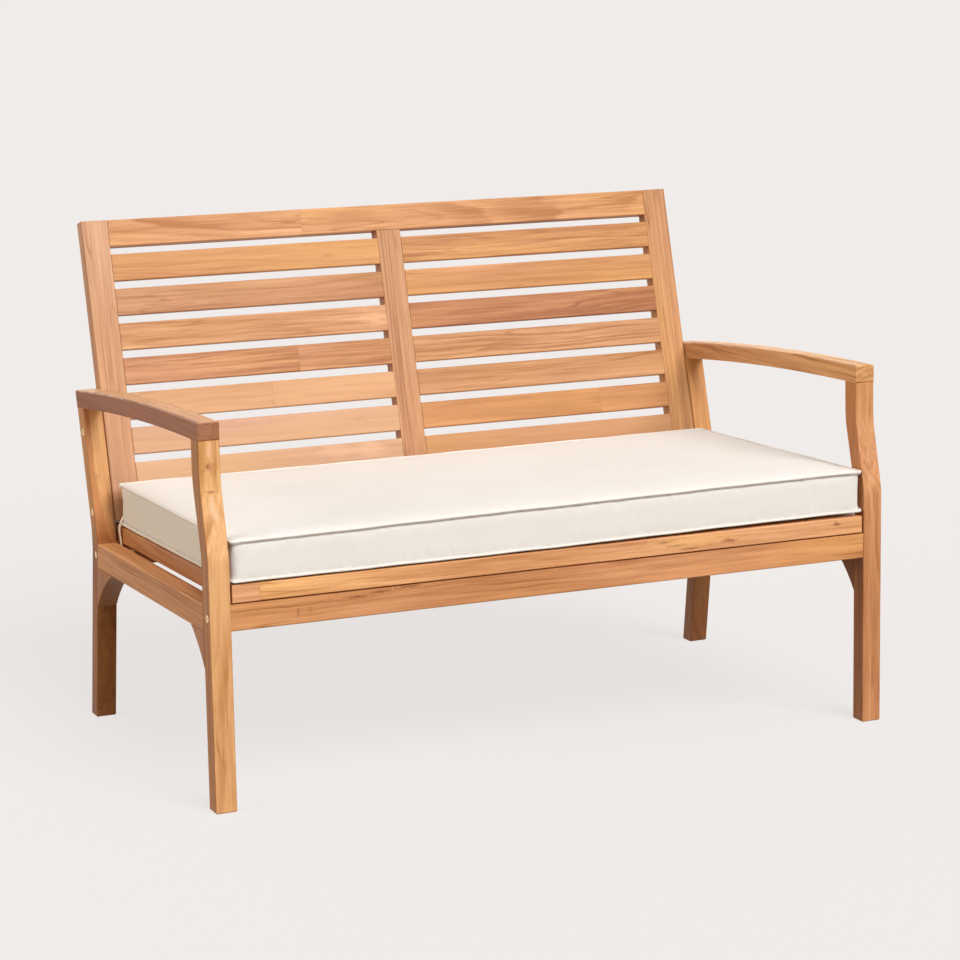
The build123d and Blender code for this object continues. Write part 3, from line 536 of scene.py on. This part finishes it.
weave_tree = canvas_weave()


def canvas(piece, light, dark):
    """Adds the cover's canvas to a piece, with a soft sheen."""
    material, tree = new_material("canvas_" + piece.name)
    coords = put(tree, "ShaderNodeTexCoord").outputs["Object"]
    weave = put(tree, "ShaderNodeGroup", {"Position": coords}, node_tree=weave_tree).outputs
    colour = blended(tree, weave["Tone"], linear(*light), linear(*dark))
    ins = {"Height": weave["Height"], "Strength": 0.2, "Distance": 0.0004}
    bump = put(tree, "ShaderNodeBump", ins)
    skin = put(tree, "ShaderNodeBsdfPrincipled", {
        "Base Color": colour, "Roughness": 0.85, "Normal": bump.outputs[0], "Sheen Weight": 0.15,
        "Sheen Roughness": 0.5, "Specular IOR Level": 0.2,
    })
    put(tree, "ShaderNodeOutputMaterial", {"Surface": skin.outputs[0]})
    piece.data.materials.append(material)


def placed(name, mesh_or_curve):
    """A new object in the scene."""
    piece = bpy.data.objects.new(name, mesh_or_curve)
    bpy.context.scene.collection.objects.link(piece)
    return piece


def skinned(rings):
    """A closed skin over a row of rings of points."""
    skin = bmesh.new()
    loops = [[skin.verts.new(point) for point in ring] for ring in rings]
    for lower, upper in zip(loops, loops[1:]):
        for here in range(len(lower)):
            there = (here + 1) % len(lower)
            skin.faces.new((lower[here], lower[there], upper[there], upper[here]))
    skin.faces.new(list(reversed(loops[0])))
    skin.faces.new(loops[-1])
    return skin


def as_mesh(name, skin):
    """A mesh from a skin, which is used up."""
    mesh = bpy.data.meshes.new(name)
    skin.to_mesh(mesh)
    skin.free()
    return mesh


def smooth(share):
    """A soft step from 0 to 1."""
    share = min(max(share, 0.0), 1.0)
    return share * share * (3 - 2 * share)


def settle(place):
    """How the cushion lies: its right end stands off the seat, its front left corner is low."""
    most = 0.0042
    right_from, right_over, left_from, left_over = -0.15, 0.65, -0.56, 0.5
    right = smooth((place.x - right_from) / right_over)
    left = 1 - smooth((place.x - left_from) / left_over)
    forward = 1 - smooth((place.y - front_edge) / (rear_edge - front_edge))
    up = smooth((place.z - seam_low) / (seam_high - seam_low))
    rise = most * right * (0.3 + 0.7 * forward) - most * left * forward * up
    return Vector((place.x, place.y, place.z + rise))


def pucker(place):
    """The boxing gathers in small folds along its seams, most at the corners."""
    seam_reach, corner_reach, far_off, boxing_band = 0.014, 0.035, 0.2, 0.008
    everywhere, at_corners = 0.0005, 0.0011
    fold_width, wander, bunch = 0.0024, 0.019, 0.031
    to_seam = min(abs(place.z - seam_low), abs(place.z - seam_high))
    to_end = half_width - abs(place.x)
    to_front, to_rear = place.y - front_edge, rear_edge - place.y
    to_corner = max(min(to_end, far_off), min(to_front, to_rear, far_off))
    depth = (everywhere + at_corners * exp(-to_corner / corner_reach)) * exp(-to_seam / seam_reach)
    along = place.x if min(to_front, to_rear) < to_end else place.y
    fold = sin(along / fold_width + 2.0 * sin(along / wander))
    fold *= 0.6 + 0.4 * sin(along / bunch + 1.3)
    inward = depth * (1 + fold) / 2
    if to_end < boxing_band and to_end < min(to_front, to_rear):
        return Vector((-inward if place.x > 0 else inward, 0, 0))
    if min(to_front, to_rear) < boxing_band:
        return Vector((0, inward if to_front < to_rear else -inward, 0))
    return Vector((0, 0, 0))


pad_profile = (  # inset and height of each ring: in under the seams, and drawn in between them
    (0.0065, 0.0295), (0.0036, 0.0318), (0.0048, 0.045), (0.0053, 0.0658), (0.0048, 0.0866),
    (0.0036, 0.0998), (0.0060, 0.1022),
)
pad_skin = skinned([outline(inset, height) for inset, height in pad_profile])
pad = placed("cushion_pad", as_mesh("cushion_pad", pad_skin))
bpy.context.view_layer.objects.active = pad
even = pad.modifiers.new("even", "REMESH")
even.mode = "VOXEL"
even.voxel_size = 0.0055
bpy.ops.object.modifier_apply(modifier="even")
start = [vertex.co.copy() for vertex in pad.data.vertices]
swollen = start
# the seams are held and the foam swells the cloth between them
seam_band, edge_band, frames = 0.0032, 0.012, 20
held = [
    number for number, place in enumerate(start)
    if min(abs(place.z - seam_low), abs(place.z - seam_high)) < seam_band
    and (abs(place.x) > half_width - edge_band or place.y < front_edge + edge_band
         or place.y > rear_edge - edge_band)
]
pad.vertex_groups.new(name="seams").add(held, 1.0, "REPLACE")
swelling = pad.modifiers.new("swelling", "CLOTH")
feel = swelling.settings
feel.vertex_group_mass = "seams"
feel.quality = 4
feel.mass = 0.2
feel.tension_stiffness = 12.0
feel.compression_stiffness = 12.0
feel.shear_stiffness = 4.0
feel.bending_stiffness = 0.15
feel.shrink_min = -0.012
feel.use_pressure = True
feel.uniform_pressure_force = 4.0
feel.effector_weights.gravity = 0.0
swelling.point_cache.frame_start = 1
swelling.point_cache.frame_end = frames
for number in range(1, frames + 1):
    bpy.context.scene.frame_set(number)
result = pad.evaluated_get(bpy.context.evaluated_depsgraph_get()).data
swollen = [vertex.co.copy() for vertex in result.vertices]
pad.modifiers.remove(swelling)
bpy.context.scene.frame_set(1)

crown_limit, side_limit = 0.007, 0.0025
still = 1e-7
pad_underside, side_room, rear_room = 0.0291, 0.0008, 0.003
for vertex, before, after in zip(pad.data.vertices, start, swollen):
    move = after - before
    limit = crown_limit if before.z > seam_high else side_limit
    if move.length > still:
        move *= limit * (1 - exp(-move.length / limit)) / move.length
    place = before + move
    place += pucker(place)
    place.z = max(place.z, pad_underside)
    place.y = min(place.y, rear_edge + rear_room)
    place.x = min(max(place.x, -half_width - side_room), half_width + side_room)
    vertex.co = settle(place)
pad.data.transform(seat_to_bench)
finer = pad.modifiers.new("finer", "SUBSURF")
finer.levels = finer.render_levels = 1
pad.data.shade_smooth()
canvas(pad, (240, 237, 234), (235, 231, 225))
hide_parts("seat_cushion")
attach(pad, "cushion")

# Piping: a welt cord in a strip of the same canvas, sewn into the seams above and below the
# boxing. Beside each welt runs a thin dark brown strip of painted shade for the seam's crease,
# drawn thicker at the two ends.
welt_radius, welt_inset, welt_waver, point_spacing = 0.0021, 0.0021, 0.0004, 0.02
crease_shade_inset, crease_shade_apart, crease_shade_thickness, crease_shade_on_ends, end_band = 0.0024, 0.0027, 0.3, 1.8, 0.01
welt_low = seam_low + 0.0017  # the weight of the pad presses the lower welt up against the boxing
for name, height, toward_boxing in (("lower", welt_low, 1), ("upper", seam_high, -1)):
    curve = bpy.data.curves.new("welt_" + name, "CURVE")
    curve.dimensions = "3D"
    curve.bevel_depth = welt_radius
    curve.bevel_resolution = 4
    for material_index, inset, lift, thickness, on_ends in (
        (0, welt_inset, 0.0, 1.0, 1.0),
        (1, crease_shade_inset, toward_boxing * crease_shade_apart, crease_shade_thickness, crease_shade_on_ends),
    ):
        corners = outline(inset, height + lift, 6)
        ring = []
        for here, there in zip(corners, corners[1:] + corners[:1]):
            steps = max(int((there - here).length / point_spacing), 1)
            ring += [settle(here.lerp(there, step / steps)) for step in range(steps)]
        spline = curve.splines.new("POLY")
        spline.points.add(len(ring) - 1)
        for number, (point, place) in enumerate(zip(spline.points, ring)):
            place.z += welt_waver * sin(0.9 * number) * sin(0.23 * number + 1.0)
            point.co = (*(seat_to_bench @ place), 1.0)
            point.radius = thickness * (on_ends if abs(place.x) > half_width - end_band else 1.0)
        spline.use_cyclic_u = True
        spline.material_index = material_index
    welt = placed("welt_" + name, curve)
    canvas(welt, (240, 235, 229), (234, 228, 220))
    # the dark brown second material is painted shade along each seam's crease
    canvas(welt, (128, 108, 84), (108, 90, 68))
    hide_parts("cushion_piping_" + name)
    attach(welt, "cushion")

# Ties: narrow tapes folded from the cover's canvas and sewn into the cushion's rear corners. They
# hang free between the seat and the side rail.
tie_y, tie_seam = 0.18126, 0.34359
tie_half_width, tie_half_thickness = 0.004, 0.0006
flat_half, edge_half = tie_half_width - 0.0004, tie_half_thickness / 2
tape_section = (
    (-tie_half_width, edge_half), (-flat_half, tie_half_thickness),
    (flat_half, tie_half_thickness), (tie_half_width, edge_half),
    (tie_half_width, -edge_half), (flat_half, -tie_half_thickness),
    (-flat_half, -tie_half_thickness), (-tie_half_width, -edge_half),
)
for side, sign in (("left", -1), ("right", 1)):
    route = (
        (sign * 0.557, tie_y, tie_seam + 0.020),
        (sign * 0.5685, tie_y, tie_seam + 0.002),
        (sign * 0.5635, tie_y, tie_seam - 0.022),
        (sign * 0.5635, tie_y, tie_seam - 0.046),
    )
    curve = bpy.data.curves.new("tie_route_" + side, "CURVE")
    curve.dimensions = "3D"
    spline = curve.splines.new("NURBS")
    spline.points.add(len(route) - 1)
    for point, place in zip(spline.points, route):
        point.co = (*place, 1.0)
    spline.order_u = 3
    spline.use_endpoint_u = True
    spline.resolution_u = 24
    guide = bpy.data.objects.new("tie_guide_" + side, curve)
    line = [vertex.co.copy() for vertex in bpy.data.meshes.new_from_object(guide).vertices]
    bpy.data.objects.remove(guide)
    across = Vector((0, 1, 0))
    sections = []
    for number, here in enumerate(line):
        ahead = line[min(number + 1, len(line) - 1)] - line[max(number - 1, 0)]
        out = ahead.normalized().cross(across)
        sections.append([here + across * wide + out * thick for wide, thick in tape_section])
    tape = skinned(sections)
    bmesh.ops.recalc_face_normals(tape, faces=tape.faces)
    tie = placed("tie_" + side, as_mesh("tie_" + side, tape))
    tie.data.shade_smooth()
    canvas(tie, (244, 236, 226), (236, 226, 214))
    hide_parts("cushion_tie_" + side)
    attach(tie, "cushion")


# Studio: a plain pale floor and background, a soft key light from the front, a weaker warm one from
# the left, a faint one from behind, and even light all round.
def seen(tree):
    """1 where the surface is looked at, also in a reflection, and 0 where it lights the bench."""
    rays = put(tree, "ShaderNodeLightPath").outputs
    looked_at = calc(tree, "MAXIMUM", rays["Is Camera Ray"], rays["Is Glossy Ray"])
    return calc(tree, "MAXIMUM", looked_at, rays["Is Transmission Ray"])


floor_reach = 60
floor_mesh = bpy.data.meshes.new("floor")
floor_mesh.from_pydata(
    [(x * floor_reach, y * floor_reach, 0) for x, y in ((-1, -1), (1, -1), (1, 1), (-1, 1))],
    [], [(0, 1, 2, 3)],
)
floor = placed("floor", floor_mesh)
floor_material, tree = new_material("floor")
floor_pale, floor_bounce = linear(239, 235, 233), linear(120, 100, 78)
evenly_shown = 0.86  # the rest takes the bench's shadow
looked_at = seen(tree)
paint = blended(tree, looked_at, floor_bounce, floor_pale)
matte = put(tree, "ShaderNodeBsdfDiffuse", {"Color": paint})
shown = put(tree, "ShaderNodeEmission", {"Color": floor_pale, "Strength": 1.0})
mixed = put(tree, "ShaderNodeMixShader", {
    0: calc(tree, "MULTIPLY", looked_at, evenly_shown), 1: matte.outputs[0], 2: shown.outputs[0],
})
put(tree, "ShaderNodeOutputMaterial", {"Surface": mixed.outputs[0]})
floor_mesh.materials.append(floor_material)

world = bpy.data.worlds.new("studio")
world.use_nodes = True
tree = world.node_tree
tree.nodes.clear()
soft = put(tree, "ShaderNodeBackground", {"Color": (1.0, 0.96, 0.9, 1.0), "Strength": 0.22})
pale = put(tree, "ShaderNodeBackground", {"Color": linear(240, 236, 234), "Strength": 1.0})
mixed = put(tree, "ShaderNodeMixShader", {0: seen(tree), 1: soft.outputs[0], 2: pale.outputs[0]})
put(tree, "ShaderNodeOutputWorld", {"Surface": mixed.outputs[0]})
bpy.context.scene.world = world

for name, azimuth, elevation, strength, spread, colour in (
    ("key", 12, 43, 3.3, 42, (1.0, 0.995, 0.985)),
    ("fill", -95, 13, 1.65, 50, (1.0, 0.86, 0.68)),
    ("back", 172, 10, 0.7, 60, (1.0, 0.97, 0.94)),
):
    lamp = placed(name, bpy.data.lights.new(name, "SUN"))
    lamp.data.energy = strength
    lamp.data.color = colour
    lamp.data.angle = radians(spread)
    lamp.rotation_euler = (radians(90 - elevation), 0, radians(azimuth))

# Camera: stands in front of the bench's left end and above the back's top, and looks down at it a
# little through a long lens.
camera = placed("camera", bpy.data.cameras.new("camera"))
picture_width, focal_length = 960, 2963.5  # both in the photograph's pixels
camera_place = (-2.0465, -4.5347, 1.4052)
looking_down, turned_right, rolled = radians(11.36), radians(24.53), radians(-0.498)
camera.data.sensor_width = 36.0
camera.data.lens = focal_length / picture_width * camera.data.sensor_width
camera.data.clip_end = 200.0
camera.matrix_world = (
    Matrix.Translation(camera_place)
    @ Euler((radians(90) - looking_down, 0, -turned_right)).to_matrix().to_4x4()
    @ Matrix.Rotation(rolled, 4, "Z")
)
bpy.context.scene.camera = camera

bpy.context.scene.view_settings.view_transform = "Standard"
